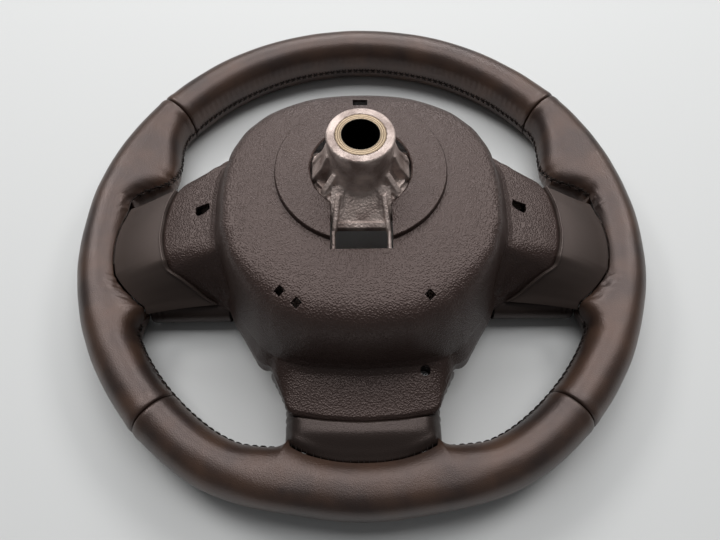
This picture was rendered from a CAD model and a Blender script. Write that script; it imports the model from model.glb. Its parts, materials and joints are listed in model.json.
import json
import math

import bmesh
import bpy
import numpy as np
from mathutils import Matrix, Vector

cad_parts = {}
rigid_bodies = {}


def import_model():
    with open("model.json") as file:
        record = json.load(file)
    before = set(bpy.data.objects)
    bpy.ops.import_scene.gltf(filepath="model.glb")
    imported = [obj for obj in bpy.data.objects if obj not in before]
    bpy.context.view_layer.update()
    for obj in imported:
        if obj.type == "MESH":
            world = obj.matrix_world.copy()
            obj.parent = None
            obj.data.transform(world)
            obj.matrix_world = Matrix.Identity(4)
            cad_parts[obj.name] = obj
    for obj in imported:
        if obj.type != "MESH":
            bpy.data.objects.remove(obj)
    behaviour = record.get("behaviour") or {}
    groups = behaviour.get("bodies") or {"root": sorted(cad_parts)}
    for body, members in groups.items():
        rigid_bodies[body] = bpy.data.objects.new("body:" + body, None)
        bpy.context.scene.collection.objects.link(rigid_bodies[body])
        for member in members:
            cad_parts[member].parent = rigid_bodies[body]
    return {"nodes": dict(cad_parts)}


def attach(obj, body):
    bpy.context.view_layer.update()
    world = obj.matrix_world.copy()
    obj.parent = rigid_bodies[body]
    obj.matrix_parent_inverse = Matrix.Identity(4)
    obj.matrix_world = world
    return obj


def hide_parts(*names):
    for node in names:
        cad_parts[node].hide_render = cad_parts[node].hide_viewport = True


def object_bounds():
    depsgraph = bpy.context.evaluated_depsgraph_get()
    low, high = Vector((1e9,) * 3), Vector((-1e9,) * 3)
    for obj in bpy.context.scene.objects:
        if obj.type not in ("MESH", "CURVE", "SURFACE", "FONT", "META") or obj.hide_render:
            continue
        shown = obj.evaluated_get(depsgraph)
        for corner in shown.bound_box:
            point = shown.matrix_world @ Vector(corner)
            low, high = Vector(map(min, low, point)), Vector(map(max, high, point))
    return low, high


# Car steering wheel seen from the column side. Lengths below are in mm, measured from the
# middle plane of the rim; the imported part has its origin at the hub's mouth, so heights shift by mouthUp.
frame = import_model()
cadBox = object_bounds()
nodes = frame["nodes"]
mouthUp = 102.4
fullTurn = 6.2832
sharp = math.radians(35)      # edges over this angle are softened
print("frame loaded:", len(nodes), "pieces")


def ease(t):
    t = np.clip(t, 0.0, 1.0)
    return t * t * (3 - 2 * t)


def curveThrough(xs, ys, at):
    # values between points of a list, smooth and without overshoot
    xs, ys, at = np.asarray(xs, float), np.asarray(ys, float), np.asarray(at, float)
    h = np.diff(xs)
    d = np.diff(ys, axis=0) / h.reshape((-1,) + (1,) * (ys.ndim - 1))
    m = np.zeros_like(ys)
    m[0], m[-1] = d[0], d[-1]
    a, b = d[:-1], d[1:]
    with np.errstate(divide="ignore", invalid="ignore"):
        mid = np.where(a * b > 0, 2 * a * b / (a + b), 0.0)
    m[1:-1] = np.nan_to_num(mid)
    i = np.clip(np.searchsorted(xs, at, side="right") - 1, 0, len(h) - 1)
    hh = h[i].reshape((-1,) + (1,) * (ys.ndim - 1))
    t = ((at - xs[i]) / h[i]).reshape((-1,) + (1,) * (ys.ndim - 1))
    return ((2 * t**3 - 3 * t**2 + 1) * ys[i] + (t**3 - 2 * t**2 + t) * hh * m[i]
            + (-2 * t**3 + 3 * t**2) * ys[i + 1] + (t**3 - t**2) * hh * m[i + 1])


waveDice = np.random.default_rng(7)
waveDirs = waveDice.normal(size=(14, 3))
waveDirs /= np.linalg.norm(waveDirs, axis=1)[:, None]
wavePhase = waveDice.uniform(0, 6.28, 14)


def waves(points, length):
    # soft unevenness between about -1 and 1
    total = np.zeros(points.shape[:-1])
    for k in range(14):
        total += np.sin(points @ waveDirs[k] * (6.28 / (length * (0.6 + 0.07 * k))) + wavePhase[k])
    return total / 5.0


def toFrame(points):
    p = np.array(points, float) * 0.001
    p[..., 2] -= mouthUp * 0.001
    return p


def newPiece(name, verts, faces, body="wheel", material=None, smoothShade=True):
    mesh = bpy.data.meshes.new(name)
    mesh.from_pydata([tuple(v) for v in toFrame(np.asarray(verts).reshape(-1, 3))], [], faces)
    mesh.validate()
    mesh.update()
    if smoothShade:
        mesh.polygons.foreach_set("use_smooth", [True] * len(mesh.polygons))
    obj = bpy.data.objects.new(name, mesh)
    bpy.context.scene.collection.objects.link(obj)
    if material:
        mesh.materials.append(material)
    if body:
        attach(obj, body)
    return obj


def gridFaces(rows, cols, start=0, loopRows=False, loopCols=False, turn=False):
    faces = []
    for i in range(rows if loopRows else rows - 1):
        for j in range(cols if loopCols else cols - 1):
            a, b = i * cols + j, i * cols + (j + 1) % cols
            c, d = ((i + 1) % rows) * cols + (j + 1) % cols, ((i + 1) % rows) * cols + j
            f = (a, b, c, d) if turn else (a, d, c, b)
            faces.append(tuple(start + k for k in f))
    return faces


def flipX(points):
    return np.asarray(points) * np.array([-1.0, 1.0, 1.0])


def bake(obj):
    # turn the modifiers of a piece into plain mesh
    bpy.context.view_layer.update()
    dg = bpy.context.evaluated_depsgraph_get()
    mesh = bpy.data.meshes.new_from_object(obj.evaluated_get(dg), depsgraph=dg)
    obj.modifiers.clear()
    obj.data = mesh
    return obj


def shader(name, color, rough, metal=0.0, specular=0.5):
    mat = bpy.data.materials.new(name)
    mat.use_nodes = True
    bsdf = mat.node_tree.nodes["Principled BSDF"]
    bsdf.inputs["Base Color"].default_value = (*color, 1)
    bsdf.inputs["Roughness"].default_value = rough
    bsdf.inputs["Metallic"].default_value = metal
    bsdf.inputs["Specular IOR Level"].default_value = specular
    return mat, mat.node_tree.nodes, mat.node_tree.links, bsdf


def textureAt(tree, kind, scale, **values):
    node = tree.new(kind)
    for key, value in values.items():
        if hasattr(node, key):
            setattr(node, key, value)
    node.inputs["Scale"].default_value = scale
    return node


def ramp(tree, stops):
    node = tree.new("ShaderNodeValToRGB")
    el = node.color_ramp.elements
    while len(el) < len(stops):
        el.new(0.5)
    for e, (at, c) in zip(el, stops):
        e.position = at
        e.color = (*c, 1) if len(c) == 3 else c
    return node


grain = {
    "roughSpan": 0.12, "groove": 0.75, "sheenTone": (1.0, 0.82, 0.78), "warp": 0.0009, "smooth": 0.35,
    "warpSize": 2.2, "lumpSize": 2.4, "lumpShare": 0.25, "fineSize": 0.28, "fineStrength": 0.7,
    "patchSpan": (0.36, 0.72), "patchDetail": 3,
}


def grainMaterial(name, color, warm, rough, cell, depth, fineDepth, patch=14.0, specular=0.5):
    # leather or leather-grained plastic: cell is the grain's size in mm, depth the height of a pebble
    mat, tree, links, bsdf = shader(name, color, rough, specular=specular)
    bsdf.inputs["Specular Tint"].default_value = (*grain["sheenTone"], 1)
    coords = tree.new("ShaderNodeTexCoord")
    warp = textureAt(tree, "ShaderNodeTexNoise", 1000 / (cell * grain["warpSize"]))
    mixed = tree.new("ShaderNodeMix")
    mixed.data_type = "VECTOR"
    mixed.inputs["Factor"].default_value = grain["warp"]
    cells = textureAt(tree, "ShaderNodeTexVoronoi", 1000 / cell, feature="SMOOTH_F1")
    cells.inputs["Smoothness"].default_value = grain["smooth"]
    second = textureAt(tree, "ShaderNodeTexNoise", 1000 / (cell * grain["lumpSize"]))
    fine = textureAt(tree, "ShaderNodeTexNoise", 1000 / (cell * grain["fineSize"]))
    links.new(coords.outputs["Object"], warp.inputs["Vector"])
    links.new(coords.outputs["Object"], mixed.inputs["A"])
    links.new(warp.outputs["Color"], mixed.inputs["B"])
    links.new(mixed.outputs["Result"], cells.inputs["Vector"])
    links.new(mixed.outputs["Result"], second.inputs["Vector"])
    links.new(coords.outputs["Object"], fine.inputs["Vector"])
    pebble = tree.new("ShaderNodeMapRange")
    pebble.interpolation_type = "SMOOTHSTEP"
    pebble.inputs["From Max"].default_value = grain["groove"]
    pebble.inputs["To Min"].default_value = 1.0
    pebble.inputs["To Max"].default_value = 0.0
    links.new(cells.outputs["Distance"], pebble.inputs["Value"])
    both = tree.new("ShaderNodeMath")
    both.operation = "MULTIPLY_ADD"
    both.inputs[1].default_value = grain["lumpShare"]
    links.new(second.outputs["Fac"], both.inputs[0])
    links.new(pebble.outputs["Result"], both.inputs[2])
    bumpA = tree.new("ShaderNodeBump")
    bumpA.inputs["Strength"].default_value = 1.0
    bumpA.inputs["Distance"].default_value = depth * 0.001
    links.new(both.outputs[0], bumpA.inputs["Height"])
    bumpB = tree.new("ShaderNodeBump")
    bumpB.inputs["Strength"].default_value = grain["fineStrength"]
    bumpB.inputs["Distance"].default_value = fineDepth * 0.001
    links.new(fine.outputs["Fac"], bumpB.inputs["Height"])
    links.new(bumpA.outputs["Normal"], bumpB.inputs["Normal"])
    links.new(bumpB.outputs["Normal"], bsdf.inputs["Normal"])
    large = textureAt(tree, "ShaderNodeTexNoise", patch)
    large.inputs["Detail"].default_value = grain["patchDetail"]
    links.new(coords.outputs["Object"], large.inputs["Vector"])
    tone = ramp(tree, list(zip(grain["patchSpan"], (color, warm))))
    links.new(large.outputs["Fac"], tone.inputs["Fac"])
    links.new(tone.outputs["Color"], bsdf.inputs["Base Color"])
    gloss = tree.new("ShaderNodeMapRange")
    gloss.inputs["To Min"].default_value = rough - grain["roughSpan"] / 2
    gloss.inputs["To Max"].default_value = rough + grain["roughSpan"] / 2
    links.new(fine.outputs["Fac"], gloss.inputs["Value"])
    links.new(gloss.outputs["Result"], bsdf.inputs["Roughness"])
    return mat


def metalMaterial(name, color, dark, rough, size, depth, metal=1.0, patch=60.0):
    # cast or plated metal: size is the surface's unevenness in mm
    mat, tree, links, bsdf = shader(name, color, rough, metal=metal)
    coords = tree.new("ShaderNodeTexCoord")
    lumps = textureAt(tree, "ShaderNodeTexNoise", 1000 / size)
    lumps.inputs["Detail"].default_value = 4
    links.new(coords.outputs["Object"], lumps.inputs["Vector"])
    bump = tree.new("ShaderNodeBump")
    bump.inputs["Distance"].default_value = depth * 0.001
    links.new(lumps.outputs["Fac"], bump.inputs["Height"])
    links.new(bump.outputs["Normal"], bsdf.inputs["Normal"])
    stains = textureAt(tree, "ShaderNodeTexNoise", patch)
    stains.inputs["Detail"].default_value = 5
    links.new(coords.outputs["Object"], stains.inputs["Vector"])
    tone = ramp(tree, [(0.38, dark), (0.62, color)])
    links.new(stains.outputs["Fac"], tone.inputs["Fac"])
    links.new(tone.outputs["Color"], bsdf.inputs["Base Color"])
    return mat


def turnedMaterial(name, color, groove, bore, boreR, pitch):
    # turned steel: fine rings round the axis, black inside the bore
    mat, tree, links, bsdf = shader(name, color, 0.38, metal=0.85)
    coords = tree.new("ShaderNodeTexCoord")
    split = tree.new("ShaderNodeSeparateXYZ")
    flat = tree.new("ShaderNodeCombineXYZ")
    length = tree.new("ShaderNodeVectorMath")
    length.operation = "LENGTH"
    links.new(coords.outputs["Object"], split.inputs[0])
    links.new(split.outputs["X"], flat.inputs["X"])
    links.new(split.outputs["Y"], flat.inputs["Y"])
    links.new(flat.outputs[0], length.inputs[0])
    rings = textureAt(tree, "ShaderNodeTexWave", 314 / pitch, wave_type="RINGS", rings_direction="Z")
    rings.inputs["Distortion"].default_value = 0.6
    rings.inputs["Detail Scale"].default_value = 2.0
    links.new(coords.outputs["Object"], rings.inputs["Vector"])
    tone = ramp(tree, [(0.15, groove), (0.75, color)])
    links.new(rings.outputs["Fac"], tone.inputs["Fac"])
    inside = tree.new("ShaderNodeMapRange")
    inside.inputs["From Min"].default_value = (boreR + 0.1) * 0.001
    inside.inputs["From Max"].default_value = (boreR + 0.6) * 0.001
    links.new(length.outputs["Value"], inside.inputs["Value"])
    mixed = tree.new("ShaderNodeMix")
    mixed.data_type = "RGBA"
    mixed.inputs["A"].default_value = (*bore, 1)
    links.new(inside.outputs["Result"], mixed.inputs["Factor"])
    links.new(tone.outputs["Color"], mixed.inputs["B"])
    links.new(mixed.outputs["Result"], bsdf.inputs["Base Color"])
    bump = tree.new("ShaderNodeBump")
    bump.inputs["Distance"].default_value = 0.00006
    links.new(rings.outputs["Fac"], bump.inputs["Height"])
    links.new(bump.outputs["Normal"], bsdf.inputs["Normal"])
    return mat


leather = grainMaterial("wornLeather", (0.020, 0.0130, 0.0110), (0.060, 0.0325, 0.0210),
                        rough=0.36, cell=0.65, depth=0.055, fineDepth=0.03, patch=38.0, specular=0.75)
spokeLeather = grainMaterial("spokeLeather", (0.016, 0.0115, 0.010), (0.024, 0.0165, 0.014),
                             rough=0.38, cell=0.60, depth=0.05, fineDepth=0.03, specular=0.6)
coverGrain = grainMaterial("coverGrain", (0.029, 0.0175, 0.0148), (0.035, 0.0215, 0.018),
                           rough=0.40, cell=1.05, depth=0.21, fineDepth=0.03, specular=0.60)
smoothTrim = grainMaterial("smoothTrim", (0.040, 0.030, 0.026), (0.047, 0.035, 0.030),
                           rough=0.46, cell=0.35, depth=0.02, fineDepth=0.01, specular=0.55)
frontPlastic = grainMaterial("frontPlastic", (0.018, 0.017, 0.017), (0.022, 0.020, 0.020),
                             rough=0.42, cell=0.30, depth=0.02, fineDepth=0.01)
switchPlastic = grainMaterial("switchPlastic", (0.012, 0.012, 0.012), (0.015, 0.014, 0.014),
                              rough=0.36, cell=0.30, depth=0.015, fineDepth=0.01)
foamSkin = grainMaterial("foamSkin", (0.014, 0.013, 0.012), (0.018, 0.017, 0.015),
                         rough=0.85, cell=0.8, depth=0.10, fineDepth=0.05)
thread = grainMaterial("blackThread", (0.008, 0.0062, 0.0055), (0.012, 0.009, 0.0075),
                       rough=0.65, cell=0.25, depth=0.06, fineDepth=0.03, specular=0.3)
castMetal = metalMaterial("castMetal", (0.66, 0.55, 0.505), (0.25, 0.19, 0.17), 0.50, 1.3, 0.62, metal=0.55)
machined = turnedMaterial("turnedSteel", (0.34, 0.265, 0.185), (0.14, 0.10, 0.065),
                          bore=(0.010, 0.010, 0.010), boreR=10.05, pitch=1.1)
screwMetal = metalMaterial("screwMetal", (0.42, 0.42, 0.42), (0.30, 0.30, 0.30), 0.38, 0.6, 0.04)
wireMetal = metalMaterial("springWire", (0.40, 0.40, 0.41), (0.28, 0.28, 0.28), 0.35, 0.7, 0.03)
print("materials ready")


rim = {
    "wheel": 370.0, "width": 30.0, "depth": 37.0, "flatIn": 6.8, "grip": 18.0,
    "seamUp": 37.5, "seamLow": 45.0, "seamGap": 0.16, "edgeRound": 1.5, "lipRound": 0.55, "station": 1.5,
    "stitch": 4.6, "tug": 0.42, "tick": 0.50, "pleat": 0.42, "fold": 0.22, "crease": 0.75, "crumple": 0.42,
    "welt": 0.35, "endDrop": (3.2, 0.8), "turnIn": 2.6, "threadR": 0.42, "threadHalf": 6.5,
    "endSteps": [0, 0.08, 0.22, 0.45, 0.8, 1.2, 1.7, 2.4],
    "lipSteps": [0, 0.006, 0.014, 0.026, 0.042, 0.062, 0.09, 0.125, 0.165, 0.21, 0.26, 0.32, 0.38, 0.45,
                 0.52, 0.6, 0.68, 0.76, 0.84, 0.92],
}
# the leather's edges, in degrees round the section; from, span and leadFrom in degrees round the wheel
lips = {
    "shut": 0.7, "open": 45.5, "lowOpen": 41.8, "lowEnd": 17.6, "from": -23.6, "span": 31.6, "frontSpan": 11,
    "lead": 38, "leadFrom": 30, "leadSpan": 20, "leadBack": 10,
}
halfW, halfT = rim["width"] / 2, rim["depth"] / 2
pathR = rim["wheel"] / 2 - halfW


def sideOf(a):
    # degrees above or below three o'clock, the same on both sides
    w = (a + 180) % 360 - 180
    return np.where(np.abs(w) <= 90, w, np.where(w > 0, 180 - w, -180 - w))


def footOf(a):
    # degrees from six o'clock
    return np.abs((a + 270) % 360 - 180)


def centreR(a):
    # the section's middle, drawn in at the flattened foot
    return pathR - rim["flatIn"] * ease((34 - footOf(a)) / 26)


def innerWidth(a):
    # how far the section reaches inwards: thumb grips, the swell under them and the fillets at the foot
    s, d = sideOf(a), footOf(a)
    grip = rim["grip"] * ease((36 - s) / 17) * ease((s - 8) / 9)
    under = 10.0 * ease((s + 28) / 6.5) ** 1.35 * np.clip((-12.8 - s) / 9.2, 0, 1)
    turn = np.clip((21.4 - d) / 4.4, 0, 1)
    fillet = 2.6 * ease((28 - d) / 8) + 7.0 * (1 - np.sqrt(1 - turn**2)) + 0.0 * d
    foot = np.where(d < 17, 1.6 + 8 * (np.minimum(d, 17) / 17) ** 3.3, fillet)
    return halfW + grip + under + foot


def leadUp(s):
    # how far the seam climbs towards the rear above the side spokes
    return lips["lead"] * ease((lips["leadFrom"] - s) / lips["leadSpan"]) - lips["leadBack"]


def seamShift(a):
    # how far the inner seam lies from the middle of the inner side, in degrees round the section
    s, d = sideOf(a), footOf(a)
    return np.where(s > 0, leadUp(s) * ease((s - 6) / 2.5), 6 * ease((-25 - s) / 3) * ease((d - 18.5) / 3))


def lipLow(a):
    # the leather opens where the lower spoke comes in
    return lips["shut"] + lips["lowOpen"] * ease((lips["lowEnd"] - footOf(a)) / 1.8)


def lipAngle(a):
    # the leather's rear edge: it opens for the side spokes, follows the seam and opens for the lower spoke
    s = sideOf(a)
    t = np.clip((s - lips["from"]) / lips["span"], 0, 1)
    hump = lips["shut"] + lips["open"] * (4 * t * (1 - t)) ** 0.6
    lead = lips["shut"] + np.where(s > 0, leadUp(s) * ease((s + 2) / 6), seamShift(a))
    return np.where(s > 8, lead, np.maximum(np.maximum(hump, lead), lipLow(a)))


def frontLip(a):
    # the leather's front edge
    s = sideOf(a)
    t = np.clip((s - lips["from"]) / lips["frontSpan"], 0, 1)
    side = lips["shut"] + lips["open"] * (1 - (1 - t) ** 2) * ease((7 - s) / 6)
    return 360 - np.maximum(side, lipLow(a)) + seamShift(a)


def rimPoint(a, p, o):
    # a round the wheel, p round the section from its inner side, o below the surface
    n = 2.2 + 0.6 * ease((26 - footOf(a)) / 10)
    c, s = np.cos(np.radians(p)), np.sin(np.radians(p))
    wi = np.where(c > 0, innerWidth(a), halfW) - o
    x = np.sign(c) * np.abs(c) ** (2 / n) * wi
    z = np.sign(s) * np.abs(s) ** (2 / n) * (halfT - o)
    r = centreR(a) - x
    return np.stack([r * np.cos(np.radians(a)), r * np.sin(np.radians(a)), z + 0 * r], -1)


def rolled(d, w):
    # how deep a rounded edge lies at a distance d from it
    e = np.clip(w - d, 0, w)
    return w - np.sqrt(np.maximum(w * w - e * e, 0))


def panelGrid(a0, a1):
    # for each point its angles round the wheel and the section, its distance from the panel's end
    # and whether the leather's edges meet there in the inner seam
    perDeg = pathR * math.pi / 180
    length = (a1 - a0) * perDeg
    fine, near = np.array(rim["endSteps"]), np.array(rim["lipSteps"])
    steps = np.concatenate([fine, np.arange(3.4, length - 3.4, rim["station"]), length - fine[::-1]])
    ang = a0 + steps / perDeg
    b, f = lipAngle(ang)[:, None], frontLip(ang)[:, None]
    far = np.arange(90, 271, 6.0) + 0 * b
    section = np.concatenate([b + (90 - b) * near, far, f - (f - 270) * near[::-1]], 1)
    closed = ease((3.0 - (b - f + 360) / 2) / 2) + 0 * section
    return ang[:, None] + 0 * section, section, np.minimum(steps, length - steps)[:, None], closed


def leatherDepth(around, section, fromEnd, closed):
    # how far the leather lies below the rim's full surface
    flat = rimPoint(around, section, 0.0)
    seg = np.linalg.norm(np.diff(flat, axis=1), axis=2)
    fromRear = np.concatenate([np.zeros((len(seg), 1)), np.cumsum(seg, 1)], 1)
    fromFront = fromRear[:, -1:] - fromRear
    fromLip = np.minimum(fromRear, fromFront)
    w = rim["edgeRound"]
    o = np.maximum(rolled(fromEnd, w) + 0 * section, rolled(fromLip, w * rim["lipRound"]))
    s = sideOf(around)
    arc = np.radians(around) * (centreR(around) - innerWidth(around))
    tug = 0.5 + 0.5 * np.cos(arc * fullTurn / rim["stitch"])      # the leather is pulled in at each stitch
    o += closed * tug * rim["tug"] * np.exp(-((fromLip - 1.6) / 2.3) ** 2)
    ticks = closed * ease((s - 30) / 8) * tug**2      # short puckers above the seam at the top
    o += ticks * rim["tick"] * np.exp(-((fromRear - 10) / 3.0) ** 2)
    pleats = ease((s - 4) / 5) * ease((34 - s) / 8) * closed      # folds inside the thumb grips
    swing = arc * fullTurn / 3.6 + 1.3 * np.sin(arc * 0.21)
    o += pleats * rim["pleat"] * (1 + np.sin(swing)) * np.exp(-(fromFront / 8.0) ** 2)
    o += pleats * rim["fold"] * np.sin(arc * fullTurn / 7.4) * np.exp(-(fromRear / 7.0) ** 2)
    corner = ease((s + 25) / 4) * ease((-10 - s) / 6)      # the leather is gathered where the trim ends
    above = ease((s - 2) / 3) * ease((13 - s) / 5)
    run = np.radians(around) * 150
    crease = np.abs(np.sin(run * fullTurn / 11.2 + 0.16 * fromRear + 0.9 * np.sin(run * 0.31)))
    o += corner * rim["crease"] * (1 - crease) ** 1.5 * np.exp(-((fromRear - 3.5) / 5.5) ** 2)
    o += rim["crumple"] * (corner + above) * waves(flat + 20, 4.6) * np.exp(-((fromRear - 3) / 6) ** 2)
    o += 0.10 * waves(flat, 24) + 0.16 * waves(flat + 50, 60)
    o -= rim["welt"] * np.exp(-((fromEnd - 3.2) / 2.4) ** 2)      # it stands up a little beside its seams
    return np.where(flat[..., 2] < -10, np.maximum(o, 0.02), o)      # flat where the wheel lies on the floor


def leatherPanel(name, a0, a1, replaces):
    around, section, fromEnd, closed = panelGrid(a0, a1)
    o = leatherDepth(around, section, fromEnd, closed)
    first, last = slice(0, 1), slice(-1, None)
    deep, shallow = rim["endDrop"]
    rows = [(first, deep), (first, shallow), (slice(None), 0), (last, shallow), (last, deep)]
    pts = np.concatenate([rimPoint(around[k], section[k], o[k] + drop) for k, drop in rows], 0)
    lines = np.concatenate([around[k, :1] for k, drop in rows], 0)
    centre = rimPoint(lines, np.full(lines.shape, 180.0), halfW - 0.01)

    def inward(edge):
        # the edges that face each other at the inner seam go on into the rim
        d = centre - edge
        return edge + d / np.linalg.norm(d, axis=2, keepdims=True) * rim["turnIn"]

    pts = np.concatenate([inward(pts[:, :1]), pts, inward(pts[:, -1:])], 1)
    obj = newPiece(name, pts, gridFaces(*pts.shape[:2], turn=True), "wheel", leather)
    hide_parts(*replaces)


g, up, lo = rim["seamGap"], rim["seamUp"], rim["seamLow"]
leatherPanel("rimLeatherTop", up + g / 2, 180 - up - g / 2, ["leather_top"])
leatherPanel("rimLeatherRight", -lo + g / 2, up - g / 2, ["leather_right"])
leatherPanel("rimLeatherLeft", 180 - up + g / 2, 180 + lo - g / 2, ["leather_left"])
leatherPanel("rimLeatherBottom", 180 + lo + g / 2, 360 - lo - g / 2, ["leather_bottom"])


def threadMesh(name, paths, radius, sides=6):
    # round threads along short paths, as one piece
    verts, faces = [], []
    ring = np.arange(sides) * 2 * math.pi / sides
    for path in paths:
        p = np.asarray(path, float)
        t = np.gradient(p, axis=0)
        t /= np.linalg.norm(t, axis=1)[:, None]
        ref = np.array([0.0, 0.0, 1.0]) if abs(t[0][2]) < 0.8 else np.array([1.0, 0.0, 0.0])
        u = np.cross(t, ref)
        u /= np.linalg.norm(u, axis=1)[:, None]
        v = np.cross(t, u)
        k = np.linspace(0, 1, len(p))
        r = radius * np.clip(np.sqrt(1 - (2 * k - 1) ** 6), 0.25, 1)
        start = len(verts)
        for i in range(len(p)):
            for w in ring:
                verts.append(p[i] + (u[i] * math.cos(w) + v[i] * math.sin(w)) * r[i])
        faces += gridFaces(len(p), sides, start, loopCols=True)
        faces.append(tuple(start + i for i in range(sides)))
        faces.append(tuple(start + (len(p) - 1) * sides + i for i in range(sides))[::-1])
    return newPiece(name, verts, faces, "wheel", thread)


def innerStitches():
    # crossed stitches that close the leather along the inner side of the rim
    paths = []
    a = 0.0
    while a < 360:
        radius = float(centreR(np.array(a)) - innerWidth(np.array(a)))
        step = rim["stitch"] / (radius * math.pi / 180)
        ends = np.array([a, a + step])
        if np.max(lipAngle(ends) - frontLip(ends) + 360) < 2.6:      # only where the edges meet
            for d in (1, -1):
                k = np.linspace(-1, 1, 6)
                ang = a + step * 0.5 * (1 + d * k * 0.72)
                bow = -0.16 + 0.50 * k**2
                paths.append(rimPoint(ang, seamShift(ang) + k * rim["threadHalf"], bow - 0.14))
        a += step
    return paths


stitchRun = threadMesh("innerSeamThread", innerStitches(), rim["threadR"])
print("rim leather and stitches done")


lower = {
    "x": [26, 36, 41.6, 43.5, 42.4, 38.6, 32, 20, 7],
    "z": [-13.2, -12.6, -8, -1, 7.4, 13.2, 16.2, 17.7, 18.1],
    "y": [-98, -98, -98, -98, -98, -112, -121, -121, -121],
    "tuck": 2.5, "swell": 2.4, "pitch": 4.2, "tug": 0.30, "sideWave": 0.28, "edgeRound": 1.5,
    "threadR": 0.30, "footStitch": 2.9, "footReach": 15.6,
}


def spokeHalf(y):
    # half the spoke's width, wider towards the rim
    return 44.4 + 10.5 * np.clip((119 + y) / 21, 0, None) ** 1.2


def mirrored(values, sign):
    return np.concatenate([values, sign * values[::-1]])


def lowerSpokeLeather():
    # the section has nine points from the front's edge to the middle of the rear, mirrored for the other half
    lx, lz = np.array(lower["x"], float), np.array(lower["z"], float)
    y0 = np.array(lower["y"], float)
    y0[5:] += lower["tuck"]      # below the cover's tongue
    y1 = np.array([-139.5] * 4 + [-139.8] + [-149.9 + 10.3 * (v / 41) ** 2.4 for v in lx[5:]])
    at = np.linspace(0, 17, 171)
    wide, high, startY, endY = (curveThrough(np.arange(18), mirrored(v, sign), at)
                                for v, sign in ((lx, -1), (lz, 1), (y0, 1), (y1, 1)))
    knot = np.minimum(at, 17 - at)
    t = np.concatenate([np.linspace(0, 0.94, 44), [0.955, 0.97, 0.98, 0.988, 0.994, 1.0]])[:, None]
    y = startY + (endY - startY) * t
    x = np.where(knot < 0.5, wide, wide * (spokeHalf(y) / 43.5)) + 0 * y
    drop = 4 * ease((-y - 134) / 16) * ease(knot - 4)
    past = -129.2 + 4.4 * (np.minimum(np.abs(x), 44) / 40) ** 2 - y      # how far beyond the tongue
    swell = lower["swell"] * ease((past + 0.6) / 1.2) * ease((22 - past) / 17) * ease((knot - 4.3) / 1.6)
    side = lower["sideWave"] * np.sin(y * fullTurn / lower["pitch"]) * ease((y + 131) / 5)
    side = side * np.exp(-((knot - 3.4) / 1.4) ** 2)
    pts = np.stack([x + np.sign(x) * side, y, high - drop + swell], -1)
    fromEnd = y - endY
    o = rolled(np.clip(fromEnd, 0, None), lower["edgeRound"]) * ease((knot - 4.2) / 0.8)
    arc = np.cumsum(np.abs(np.gradient(wide)))[None, :]
    tug = 0.5 + 0.5 * np.cos(arc * fullTurn / lower["pitch"])
    o += lower["tug"] * tug * np.exp(-((fromEnd - 2.0) / 2.2) ** 2) * ease(knot - 4.5)
    o += 0.12 * waves(pts, 26) + 0.25 * waves(pts + 90, 50) * ease((knot - 3) / 2)
    bulge = 0.4 + 0.7 * ease((np.abs(x) - 20) / 12)      # stronger at the ends of the seam's arc
    o -= bulge * np.exp(-((fromEnd - 4.0) / 2.6) ** 2) * ease(knot - 4.5)
    n = np.stack([np.gradient(high)[None, :] + 0 * y, 0 * y, -np.gradient(wide)[None, :] + 0 * y], -1)
    n /= np.linalg.norm(n, axis=2, keepdims=True)
    pts = pts - n * o[..., None]
    last = pts[-1:] + np.array([0, 0.4, -2.6])      # the edge goes down into the seam
    pts = np.concatenate([pts, last], 0)
    obj = newPiece("lowerSpokeLeather", pts, gridFaces(*pts.shape[:2], turn=True), "wheel", spokeLeather)
    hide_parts("leather_lower_spoke")
    return pts


def footStitches(pts):
    # the row that joins the spoke leather to the rim, along the arc of the seam
    paths = []
    edge = pts[-4]
    run = 0.0
    for j in range(40, pts.shape[1] - 40):
        run += np.linalg.norm(edge[j] - edge[j - 1])
        if run < lower["footStitch"]:
            continue
        run = 0.0
        a = np.array(math.degrees(math.atan2(edge[j][1], edge[j][0])) % 360)
        if footOf(a) > lower["footReach"]:
            continue
        lip = float(lipAngle(a))
        q = rimPoint(a, lip + 3.2, 0.25)
        m = rimPoint(a, lip + 0.6, 1.2)
        p0 = pts[-8][j] + np.array([0, 0, 0.1])
        k = np.linspace(0, 1, 7)[:, None]
        paths.append(p0 * (1 - k) ** 2 + 2 * (m + np.array([0, 0, 0.3])) * k * (1 - k) + q * k**2)
    return paths


spokePts = lowerSpokeLeather()
threadMesh("footSeamThread", footStitches(spokePts), lower["threadR"])


nose = {
    "y": -49.3, "z": -7.2, "r": 9.2, "x0": 84.0, "x1": 134.5, "edgeRound": 1.8,
    "tipSteps": [0.8, 1.6, 2.3, 2.9, 3.4, 3.8, 4.0], "span": (62, 298),
}


def spokeLeatherStrip(name, flip, replaced):
    # leather round the lower edge of a side spoke
    tip = nose["x1"] - 4
    run = np.concatenate([np.linspace(nose["x0"], tip, 60), tip + np.array(nose["tipSteps"])])
    x, t = np.meshgrid(run, np.radians(np.linspace(*nose["span"], 60)), indexing="ij")
    o = rolled(np.clip(nose["x1"] - x, 0, None), nose["edgeRound"])
    o += 0.10 * np.sin(x * fullTurn / 4.4) * np.exp(-((t - t[0, 0]) / 0.4) ** 2)
    o += ease((x - 118) / 14) * 0.35 * np.sin(x * 1.7 + 2.2 * t) * np.exp(-((t - 1.9) / 0.8) ** 2)
    o += 0.12 * waves(np.stack([x, t * 9, 0 * x], -1), 18)
    r = nose["r"] - o
    pts = np.stack([x, nose["y"] + r * np.cos(t), nose["z"] + r * np.sin(t)], -1)
    if flip:
        pts = flipX(pts)
    obj = newPiece(name, pts, gridFaces(*pts.shape[:2], turn=not flip), "wheel", spokeLeather)
    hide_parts(replaced)


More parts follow.
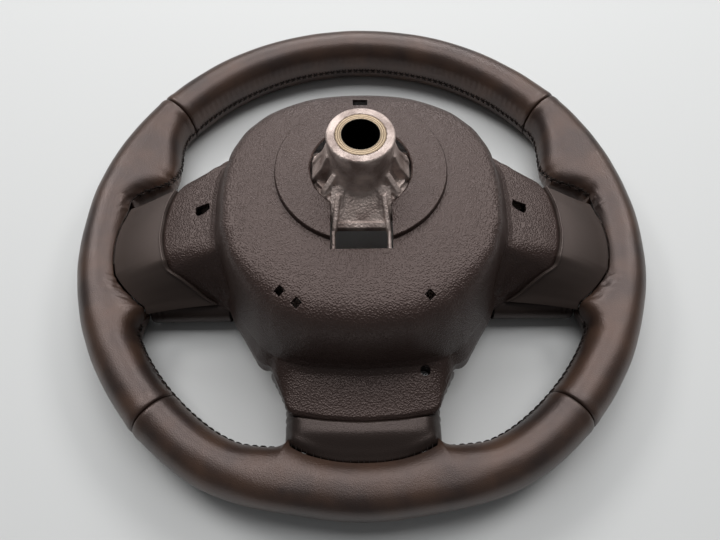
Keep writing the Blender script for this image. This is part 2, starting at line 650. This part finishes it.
spokeLeatherStrip("spokeLeatherRight", False, "leather_spoke_right")
spokeLeatherStrip("spokeLeatherLeft", True, "leather_spoke_left")
print("spoke leather done")


# the cover's lines are lists of x, y, z on the right half, from twelve o'clock to six o'clock
cover = {
    "cy": -12.0, "wall": 2.2, "topH": 72.4, "discD": 96.6, "discRise": 3.0, "openD": 57.0,
    "slot": 33.2, "slotY": (-51.2, -19.2), "notch": 8.8, "notchY": (-3.4, 4.2), "square": 4.3, "round": 5.8,
    "screwAt": (34.8, -102.6), "tube": {"z0": 12.3, "z1": 23.0, "rOut": 4.5, "rIn": 2.9}, "edge": 0.3,
    "clips": [(-42.2, -74.2), (-33.4, -80.8), (34.4, -77.4)],
    "cutHeights": {"slot": (60, 90), "clip": (54, 80), "screw": (15, 34), "access": (25, 45)},
    "access": [(102.6, 0.4), (94.4, 2.6), (93.2, -1.8), (96.4, -4.8), (100.6, -6.4), (102.4, -4)],
    "wallTop": [[0, 61, 64], [13, 60.7, 64], [25, 59, 64], [35, 56.5, 64], [44, 52.7, 64],
                [52.5, 48.3, 64], [60, 43, 64], [70, 31.5, 64], [76.6, 18, 64], [79.3, 3, 64],
                [80.2, -12, 64], [78.6, -34, 64], [72.5, -52, 64], [65, -66, 64], [57, -78, 64],
                [46, -88.5, 64], [28, -96, 64], [0, -98.8, 64]],
    "wallFoot": [[0, 64, 30], [13.5, 63.7, 30], [26, 62, 30], [36.5, 59.6, 30], [46, 56.2, 30],
                 [55.5, 52, 30.5], [64, 47, 31], [76.5, 38.5, 34], [83, 32, 37.4], [87.6, 18, 37.6],
                 [88, 0, 37.6], [87, -20, 37.8], [85.4, -31, 37.6], [83, -40, 26], [80.6, -50, 13],
                 [78.3, -57, 17], [73, -67, 24], [66, -77.5, 26], [56, -89, 26], [45, -96, 25.4],
                 [30, -99.8, 25], [0, -101.6, 25]],
    "edgeTop": [[0, 66, 14], [13.5, 65.7, 14], [26, 64, 14], [36.5, 61.6, 14], [46, 58.2, 14],
                [56, 54.2, 14], [65, 49.5, 14], [78, 41.5, 20], [84.6, 36, 36], [101, 27.4, 33.6],
                [117.6, 18, 29.6], [121, 8.5, 29.4], [123, -3, 28.6], [123, -14, 28.6], [121, -25, 29.2],
                [118.5, -32.5, 29.6], [116.5, -37.3, 26.2], [109, -41.5, 21.6], [101.5, -45.4, 14.4],
                [96, -48.6, 8.4], [89.5, -51.6, 4.4], [82.5, -55, 3.6], [78.2, -63.5, 11],
                [76.6, -67, 12.4], [72, -74, 12.4], [65, -85.5, 12.4], [59.2, -94.8, 12.4],
                [53.6, -95.6, 16], [50.2, -103, 18], [45.4, -113, 19.4], [42.0, -121.8, 20.0],
                [39.6, -124.2, 20.2], [20, -127.8, 20.9], [0, -129.0, 21.1]],
    "edgeLow": [[0, 67, 5], [13.5, 66.7, 5], [26, 65, 5], [36.5, 62.6, 5], [46, 59.2, 5], [56, 55.2, 5],
                [65, 50.5, 5], [78, 42.8, 5], [85.2, 38, 4], [101, 29, 4], [118, 19.4, 4],
                [121.4, 8.7, 26], [123.4, -3, 25.6], [123.4, -14, 25.6], [121.4, -25, 26],
                [119, -32.8, 26], [117, -37.8, 22.8], [109.4, -42, 18], [101.8, -45.9, 11],
                [96.2, -49, 5.4], [89.6, -52, 2.2], [82.8, -55.8, 1.4], [78.8, -64.5, 6],
                [77.2, -67.6, 6.4], [72.6, -74.6, 6.4], [65.6, -86.2, 6.4], [59.6, -96, 6.4],
                [53.8, -96.6, 9.6], [50.6, -103.6, 12.4], [45.8, -113.8, 14.4], [42.4, -122.3, 17],
                [39.9, -124.8, 17.8], [20, -128.4, 18.6], [0, -129.6, 18.8]],
}
cy = cover["cy"]
# directions from the cover's middle in which its section is worked out, closer together at its corners
bearings = np.concatenate([
    [-90, -84.7, -79.4, -75.2, -71.6, -69.8, -66.4, -63.5], np.arange(-60.5, -50.4, 2.5),
    np.arange(-46, -32.4, 4.5), np.arange(-28.6, -12.1, 2.7), np.arange(-8, 24.3, 4.6),
    np.arange(26.5, 32.6, 2), np.arange(38, 90.1, 6.5),
])


def onLine(line, b):
    # distance and height where a line is met in direction b
    pts = np.array(line, float)
    ang = np.degrees(np.arctan2(pts[:, 1] - cy, pts[:, 0]))
    d = np.array([math.cos(math.radians(b)), math.sin(math.radians(b))])
    for p, q, bp, bq in zip(pts[:-1], pts[1:], ang[:-1], ang[1:]):
        if bp >= b - 1e-4 and bq <= b + 1e-4:
            e = q[:2] - p[:2]
            den = d[0] * e[1] - d[1] * e[0]
            u = min(1, max(0, ((p[1] - cy) * d[0] - p[0] * d[1]) / -den))
            return math.hypot(p[0] + u * e[0], p[1] + u * e[1] - cy), p[2] + u * (q[2] - p[2])


def circleAt(r, b):
    # distance to a circle round the hub in direction b
    b = math.radians(b)
    return -cy * math.sin(b) + math.sqrt(r * r - (cy * math.cos(b)) ** 2)


def wingHeight(x, y):
    # the wing's flat top and the slope that meets it, with a soft line between them
    flat = 38 - 0.15 * (x - 86) - 0.0026 * (x - 86) ** 2
    slope = 31.4 + (y + 35) * 1.5
    d = abs(flat - slope)
    return min(flat, slope) - ((5 - d) ** 2 / 20 if d < 5 else 0)


def coverProfile(b):
    # distance and height of the section's points in direction b, from the opening out to the edge
    ro, rd = circleAt(cover["openD"] / 2, b), circleAt(cover["discD"] / 2, b)
    a, f, e, s = (onLine(cover[k], b) for k in ("wallTop", "wallFoot", "edgeTop", "edgeLow"))
    fr = 8.5 + 10 * float(ease((-28 - b) / 30))      # the shoulder is softer towards the foot
    top, rise = cover["topH"], cover["discRise"]
    zt = top - 0.5
    wing = min(1, max(0, (e[0] - f[0] - 5) / 6))
    mid = []
    for u in (0.36, 0.7):
        r = (f[0] + 4 * wing) * (1 - u) + e[0] * u
        x, y = r * math.cos(math.radians(b)), cy + r * math.sin(math.radians(b))
        mid.append([r, wingHeight(x, y) if wing > 0.5 and -25 < b < 30 else f[1] * (1 - u) + e[1] * u])
    return [[ro, top + rise - 0.8], [ro + 0.8, top + rise], [rd - 0.5, top + rise], [rd, top + rise - 0.5],
            [rd + 0.4, top], [rd + (a[0] - fr - rd) * 0.5, top], [a[0] - fr, zt],
            [a[0] - fr * 0.56, zt - fr * 0.1], [a[0] - fr * 0.22, zt - fr * 0.36], [a[0], zt - fr * 0.92],
            [a[0] + (f[0] - a[0]) * 0.92 - 0.5 * wing, f[1] + 4 + 2 * wing], [f[0] + 0.9 * wing, f[1] + 1.5],
            [f[0] + 4 * wing + 0.2, f[1] - 0.5 + 0.2 * wing], mid[0], mid[1],
            [e[0] - 1.6 * wing, e[1] + 0.5], [e[0], e[1] - 1], list(s)]


def rounded(profile, guards):
    # cut the corners of a profile; guards keep a corner tight
    pts = [profile[0]]
    for i, (p, q) in enumerate(zip(profile[:-1], profile[1:])):
        l = np.linalg.norm(q - p)
        gp, gq = guards.get(i, 9), guards.get(i + 1, 9)
        if gp < 9:
            pts.append(p + (q - p) * min(0.3, gp / max(l, 1e-6)))
        if gq < 9:
            pts.append(q - (q - p) * min(0.3, gq / max(l, 1e-6)))
        pts.append(q)
    out = [pts[0]]
    for p, q in zip(pts[:-1], pts[1:]):
        out += [p * 0.75 + q * 0.25, p * 0.25 + q * 0.75]
    return np.array(out + [pts[-1]])


def boxCutter(x0, x1, y0, y1, z0, z1, turn=0.0):
    middle = np.array([(x0 + x1) / 2, (y0 + y1) / 2])
    c, s = math.cos(math.radians(turn)), math.sin(math.radians(turn))
    co = []
    for z in (z0, z1):
        for dx, dy in ((-1, -1), (1, -1), (1, 1), (-1, 1)):
            v = np.array([dx * (x1 - x0) / 2, dy * (y1 - y0) / 2])
            co.append([*(middle + np.array([v[0] * c - v[1] * s, v[0] * s + v[1] * c])), z])
    return co, [(3, 2, 1, 0), (4, 5, 6, 7), (0, 1, 5, 4), (1, 2, 6, 5), (2, 3, 7, 6), (3, 0, 4, 7)]


def areaOf(outline):
    # twice the outline's area, below zero when it runs clockwise
    return sum(p[0] * q[1] - q[0] * p[1] for p, q in zip(outline, outline[1:] + outline[:1]))


def prismFaces(n):
    sides = [(i, (i + 1) % n, n + (i + 1) % n, n + i) for i in range(n)]
    return [tuple(range(n))[::-1], tuple(range(n, 2 * n))] + sides


def prismCutter(outline, z0, z1):
    if areaOf(outline) < 0:
        outline = outline[::-1]
    co = [[x, y, z0] for x, y in outline] + [[x, y, z1] for x, y in outline]
    return co, prismFaces(len(outline))


def circleOutline(x, y, r, n=32):
    return [(x + r * math.cos(2 * math.pi * i / n), y + r * math.sin(2 * math.pi * i / n)) for i in range(n)]


def coverCuts():
    # slot, notch, clip holes, screw hole and the two openings over the wings
    w, n, h, disc = cover["slot"] / 2, cover["notch"] / 2, cover["square"] / 2, cover["discD"] / 2
    n0, n1 = cover["notchY"]
    high = cover["cutHeights"]
    cuts = [boxCutter(-w, w, *cover["slotY"], *high["slot"])]
    cuts.append(boxCutter(-n, n, disc + n0, disc + n1, *high["slot"]))
    cuts += [boxCutter(x - h, x + h, y - h, y + h, *high["clip"], turn=45) for x, y in cover["clips"]]
    cuts.append(prismCutter(circleOutline(*cover["screwAt"], cover["round"] / 2), *high["screw"]))
    cuts.append(prismCutter(cover["access"], *high["access"]))
    cuts.append(prismCutter([(-x, y) for x, y in cover["access"]], *high["access"]))
    return cuts


def buildCover():
    half = np.array([coverProfile(b) for b in bearings])
    fine = np.linspace(-90, 90, 151)
    half = curveThrough(bearings, half, fine)
    guards = {1: 0.35, 2: 0.35, 3: 0.3, 4: 0.5, 10: 1.2, 11: 1.0, 12: 1.0, 15: 0.8, 16: 0.5}
    rows = np.array([rounded(p, guards) for p in half])
    rad = np.radians(fine)[:, None]
    right = np.stack([rows[..., 0] * np.cos(rad), cy + rows[..., 0] * np.sin(rad), rows[..., 1]], -1)
    ring = np.concatenate([right, flipX(right[::-1])[1:-1]], 0)
    obj = newPiece("rearCover", ring, gridFaces(*ring.shape[:2], loopRows=True, turn=True), None, coverGrain)
    bpy.context.view_layer.update()
    solid = obj.modifiers.new("wall", "SOLIDIFY")
    solid.thickness = cover["wall"] * 0.001
    solid.offset = -1
    solid.use_even_offset = False
    bake(obj)
    for k, (co, faces) in enumerate(coverCuts()):
        cutter = newPiece(f"cut{k}", co, faces, None, smoothShade=False)
        mod = obj.modifiers.new("cut", "BOOLEAN")
        mod.operation, mod.solver, mod.object = "DIFFERENCE", "MANIFOLD", cutter
    bake(obj)
    for cutter in [o for o in bpy.data.objects if o.name.startswith("cut")]:
        bpy.data.objects.remove(cutter)
    edge = obj.modifiers.new("edges", "BEVEL")
    edge.limit_method, edge.angle_limit, edge.segments = "ANGLE", math.radians(60), 2
    edge.width = cover["edge"] * 0.001
    bake(obj)
    obj.data.polygons.foreach_set("use_smooth", [True] * len(obj.data.polygons))
    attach(obj, "wheel")
    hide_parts("rear_cover")


buildCover()


def tubeBetween(name, x, y, z0, z1, rOut, rIn, material, n=40):
    verts = []
    for r, z in ((rOut, z0), (rOut, z1), (rIn, z1), (rIn, z0)):
        verts += [[px, py, z] for px, py in circleOutline(x, y, r, n)]
    faces = gridFaces(4, n, loopRows=True, loopCols=True, turn=True)
    return newPiece(name, verts, faces, "wheel", material, smoothShade=False)


tube = tubeBetween("coverScrewTube", *cover["screwAt"], **cover["tube"], material=coverGrain)
print("rear cover done")


# inner: x, y, z along the cover's edge; outer: degrees round the wheel, then x and z off the leather's lip
trim = {
    "wall": 2.0, "gap": 0.15, "corner": 0.13, "cornerRun": 1.3, "edgeRound": 0.8,
    "bead": 0.75, "beadFrom": 14, "beadUp": 0.35, "beadIn": 0.9,
    "inner": [[118.3, 19.4, 3.4], [118.3, 18.6, 27.4], [118.8, 16.8, 29.8], [121.7, 8.6, 29.8],
              [123.7, -3, 29], [123.7, -14, 29], [121.7, -25, 29.6], [119.3, -32.6, 30], [117.4, -37.6, 26.6],
              [110, -41.9, 22], [102.6, -45.9, 14.8], [97, -49.2, 8.6], [90.4, -52.3, 4.4]],
    "outer": [[6.2, -1.5, 1], [4.2, -3, 5], [2, -2.4, 3.4], [-1.3, -0.8, 1.2], [-4.5, -0.2, 0.4],
              [-7.8, -0.2, 0.4], [-10.9, -0.2, 0.4], [-13.8, -0.2, 0.4], [-16.2, -0.2, 0.5],
              [-18.4, -0.1, 0.6], [-20.4, 0, 0.7], [-22, 0, 0.8], [-23.2, -0.4, 0.6]],
}


def trimEdges(k):
    a = curveThrough(np.arange(13), np.array(trim["inner"], float), k)
    q = curveThrough(np.arange(13), np.array(trim["outer"], float), k)
    e = rimPoint(q[:, 0], lipAngle(q[:, 0]), 0.0)
    e[:, 0] += q[:, 1] - trim["gap"]
    e[:, 2] += q[:, 2]
    turn = np.clip(1 - k / trim["cornerRun"], 0, 1)      # the upper outer corner is round
    return a, e + (a - e) * (trim["corner"] * (1 - np.sqrt(1 - turn**2)))[:, None]


def buildTrim(name, flip, replaced):
    k = np.linspace(0, 12, 145)
    a, e = trimEdges(k)
    u = np.concatenate([[0, 0.008, 0.02, 0.04], np.linspace(0.07, 0.93, 40), [0.96, 0.98, 0.992, 1.0]])
    across = u[None, :, None]
    bow = (0.6 + 1.0 * ease(k - 1))[:, None, None] * np.sin(np.pi * across)
    pts = a[:, None] + (e - a)[:, None] * across
    pts = pts + bow * np.array([0.0, 0.0, 1.0])
    width = np.linalg.norm(e - a, axis=1)[:, None]
    edge = rolled(u * width, trim["edgeRound"]) + rolled((1 - u) * width, trim["edgeRound"])
    n = np.cross(np.gradient(pts, axis=0), np.gradient(pts, axis=1))
    n /= np.linalg.norm(n, axis=2, keepdims=True) + 1e-9
    n *= np.where(n[..., 2:3] < 0, -1, 1)
    pts = pts - n * edge[..., None]
    under = pts - n * trim["wall"]
    grid = np.concatenate([under[:, :1], pts, under[:, -1:]], 1)
    late = slice(trim["beadFrom"], None)      # the bead starts below the upper corner
    out = (e - a)[late]
    line = a[late] + n[late, 0] * trim["beadUp"] + out / np.linalg.norm(out, axis=1)[:, None] * trim["beadIn"]
    if flip:
        grid, line = flipX(grid), flipX(line)
    obj = newPiece(name, grid, gridFaces(*grid.shape[:2], turn=flip), "wheel", smoothTrim)
    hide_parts(replaced)
    bead = threadMesh(name + "Line", [line], trim["bead"], sides=8)
    bead.data.materials.clear()
    bead.data.materials.append(smoothTrim)


buildTrim("rearTrimRight", False, "rear_trim_right")
buildTrim("rearTrimLeft", True, "rear_trim_left")
print("trims done")


# outlines are x and z, heights from the rim's middle plane
cast = {
    "cutZ": 46.0, "voxel": 0.54, "smooth": 4, "edge": 0.5,
    "armWide": [[20.5, 72], [27.5, 70], [50, 44.6], [46, 36], [23, 57], [20.5, 62]],
    "earWeb": [[15, 65], [26, 65], [27.4, 73], [25.4, 76.6], [21.5, 83.5], [18.4, 92.5], [15, 92.5]],
    "skirt": [[15.5, 70], [24.5, 71.5], [21.4, 74.6], [19.4, 78.4], [18.2, 84.5], [15.5, 84.5]],
}


def wallAcross(outline, y0, y1, flip):
    # a wall seen along y, from its outline in x and z
    pts = [(-x if flip else x, z) for x, z in outline]
    if areaOf(pts) > 0:
        pts = pts[::-1]
    return [[x, y0, z] for x, z in pts] + [[x, y1, z] for x, z in pts], prismFaces(len(pts))


def ribBetween(p, q, wide, deepP, deepQ):
    # a straight rib from p to q, with its own depth at each end
    p, q = np.array(p, float), np.array(q, float)
    side = np.cross(q - p, [0, 0, 1.0])
    side = side / np.linalg.norm(side) * wide / 2
    downP, downQ = np.array([0, 0, 1.0]) * deepP, np.array([0, 0, 1.0]) * deepQ
    co = [p - side - downP, p + side - downP, q + side - downQ, q - side - downQ,
          p - side, p + side, q + side, q - side]
    faces = [(0, 1, 2, 3), (7, 6, 5, 4), (4, 5, 1, 0), (5, 6, 2, 1), (6, 7, 3, 2), (7, 4, 0, 3)]
    return [list(c) for c in co], faces


def turnedRing(outline, n=64):
    rings = [(circleOutline(0, 0, r, n), z) for r, z in outline]
    co = [[*ring[i], z] for i in range(n) for ring, z in rings]
    return co, gridFaces(n, len(outline), loopRows=True, loopCols=True, turn=True)


def hubBodies():
    # skirt, arm walls, ear webs and ribs that grow together with the hub
    got = [turnedRing(cast["skirt"])]
    for flip in (False, True):
        s = -1 if flip else 1
        got.append(wallAcross(cast["armWide"], 3, 13.5, flip))
        got.append(wallAcross(cast["earWeb"], -7.5, 4.2, flip))
        got.append(ribBetween((s * 12.2, -20.5, 77.5), (s * 15.0, -37.5, 69.4), 2.6, 9, 5))
        got.append(ribBetween((s * 13.5, -13, 78.5), (s * 22.5, -18.5, 73.8), 5.4, 9, 7))
        got.append(ribBetween((s * 12.2, -16, 79), (s * 14.4, -29.5, 70.8), 7.0, 12, 8))
    return got


def castPieces():
    # the hub becomes one smooth skin; the part below it keeps its flat faces
    source = nodes["armature"].data
    for name, keepAbove in (("castHub", True), ("castFrame", False)):
        bm = bmesh.new()
        bm.from_mesh(source)
        bmesh.ops.remove_doubles(bm, verts=bm.verts, dist=2e-6)
        geom = list(bm.verts) + list(bm.edges) + list(bm.faces)
        z = (cast["cutZ"] - mouthUp) * 0.001
        got = bmesh.ops.bisect_plane(bm, geom=geom, dist=1e-7, plane_co=(0, 0, z), plane_no=(0, 0, 1),
                                     clear_inner=keepAbove, clear_outer=not keepAbove)
        rimEdges = [e for e in got["geom_cut"] if isinstance(e, bmesh.types.BMEdge)]
        bmesh.ops.holes_fill(bm, edges=rimEdges, sides=0)
        if keepAbove:
            for co, faces in hubBodies():
                vs = [bm.verts.new(v) for v in toFrame(co)]
                for f in faces:
                    bm.faces.new([vs[i] for i in f])
            bmesh.ops.recalc_face_normals(bm, faces=bm.faces)
        mesh = bpy.data.meshes.new(name)
        bm.to_mesh(mesh)
        bm.free()
        obj = bpy.data.objects.new(name, mesh)
        bpy.context.scene.collection.objects.link(obj)
        mesh.materials.clear()
        mesh.materials.append(castMetal)
        if keepAbove:
            skin = obj.modifiers.new("skin", "REMESH")
            skin.mode, skin.voxel_size = "VOXEL", cast["voxel"] * 0.001
            soft = obj.modifiers.new("soft", "SMOOTH")
            soft.factor, soft.iterations = 0.5, cast["smooth"]
        else:
            edge = obj.modifiers.new("edges", "BEVEL")
            edge.limit_method, edge.angle_limit, edge.segments = "ANGLE", sharp, 2
            edge.width = cast["edge"] * 0.001
        bake(obj)
        obj.data.polygons.foreach_set("use_smooth", [keepAbove] * len(obj.data.polygons))
        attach(obj, "wheel")
        if keepAbove:
            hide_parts("armature")


castPieces()
print("cast parts done")


def dress(name, material, bevel=0.0):
    # a kept piece gets its material and, where it is moulded, soft edges (bevel in mm)
    obj = nodes[name]
    obj.data.materials.clear()
    obj.data.materials.append(material)
    if bevel:
        weld = obj.modifiers.new("weld", "WELD")
        weld.merge_threshold = 2e-6
        edge = obj.modifiers.new("edges", "BEVEL")
        edge.limit_method, edge.angle_limit, edge.segments = "ANGLE", sharp, 2
        edge.width = bevel * 0.001


dress("splined_insert", machined)
for n in ("rim_foam", "spoke_pad_left", "spoke_pad_right", "spoke_pad_lower"):
    dress(n, foamSkin)
for n in ("front_bezel_left", "front_bezel_right", "front_bezel_lower"):
    dress(n, frontPlastic, 0.6)
for n in ("switch_housing_left", "switch_housing_right"):
    dress(n, switchPlastic, 0.4)
for n in ("pad_left_upper", "pad_left_lower", "pad_right_upper", "pad_right_lower"):
    dress(n, switchPlastic, 0.5)
dress("bezel_screws", screwMetal, 0.15)
dress("cover_screw", screwMetal, 0.15)
dress("airbag_catch_left", wireMetal)
dress("airbag_catch_right", wireMetal)
print("kept pieces dressed")


room = {
    "floor": 12.0, "floorTone": (0.65, 0.66, 0.66), "sky": 0.13, "skyTone": (0.98, 0.99, 1.0, 1),
    "warm": (1.0, 0.985, 0.97), "aimSide": (0, -0.02, -0.05), "aimMid": (0, -0.04, -0.05),
}


def makeFloor():
    z = cadBox[0].z - 0.0001
    h = room["floor"] / 2
    mesh = bpy.data.meshes.new("floor")
    mesh.from_pydata([(-h, -h, z), (h, -h, z), (h, h, z), (-h, h, z)], [], [(0, 1, 2, 3)])
    floor = bpy.data.objects.new("floor", mesh)
    bpy.context.scene.collection.objects.link(floor)
    mesh.materials.append(shader("paleFloor", room["floorTone"], 0.6, specular=0.3)[0])


def makeLight(name, at, aim, size, power, sizeY=None, color=(1, 1, 1)):
    data = bpy.data.lights.new(name, "AREA")
    data.shape = "RECTANGLE"
    data.size, data.size_y = size, sizeY or size
    data.energy, data.color = power, color
    obj = bpy.data.objects.new(name, data)
    bpy.context.scene.collection.objects.link(obj)
    obj.location = at
    obj.rotation_mode = "QUATERNION"
    obj.rotation_quaternion = (Vector(aim) - Vector(at)).to_track_quat("-Z", "Y")


def makeCamera():
    # the camera that was fitted to the photograph; angles in degrees
    shot = {"at": (-0.0014, -0.2003, 0.2350), "yaw": 0.146, "down": 62.755, "roll": -0.482, "lens": 29.0}
    data = bpy.data.cameras.new("photoCamera")
    data.sensor_width, data.lens = 36, shot["lens"]
    data.clip_start, data.clip_end = 0.01, 50
    cam = bpy.data.objects.new("photoCamera", data)
    bpy.context.scene.collection.objects.link(cam)
    yaw, down, roll = (math.radians(shot[k]) for k in ("yaw", "down", "roll"))
    look = Vector((math.cos(down) * math.sin(yaw), math.cos(down) * math.cos(yaw), -math.sin(down)))
    right = Vector((math.cos(yaw), -math.sin(yaw), 0))
    over = right.cross(look)
    r2 = right * math.cos(roll) + over * math.sin(roll)
    u2 = over * math.cos(roll) - right * math.sin(roll)
    m = Matrix((r2, u2, -look)).transposed().to_4x4()
    m.translation = Vector(shot["at"])
    cam.matrix_world = m
    bpy.context.scene.camera = cam


makeFloor()
makeLight("leftPanel", (-1.20, 1.00, 1.30), room["aimSide"], 0.65, 10.5, 0.45, room["warm"])
makeLight("rightPanel", (1.25, 0.95, 1.30), room["aimSide"], 0.65, 9.5, 0.45, room["warm"])
makeLight("backPanel", (0.05, 1.40, 0.90), room["aimMid"], 1.2, 12.0, 0.5)
makeLight("ceilingPanel", (0.0, 0.46, 1.45), room["aimMid"], 1.7, 14.5, 0.75)
world = bpy.data.worlds.new("softRoom")
world.use_nodes = True
world.node_tree.nodes["Background"].inputs["Color"].default_value = room["skyTone"]
world.node_tree.nodes["Background"].inputs["Strength"].default_value = room["sky"]
bpy.context.scene.world = world
makeCamera()
bpy.context.scene.view_settings.view_transform = "Standard"
print("stage set")
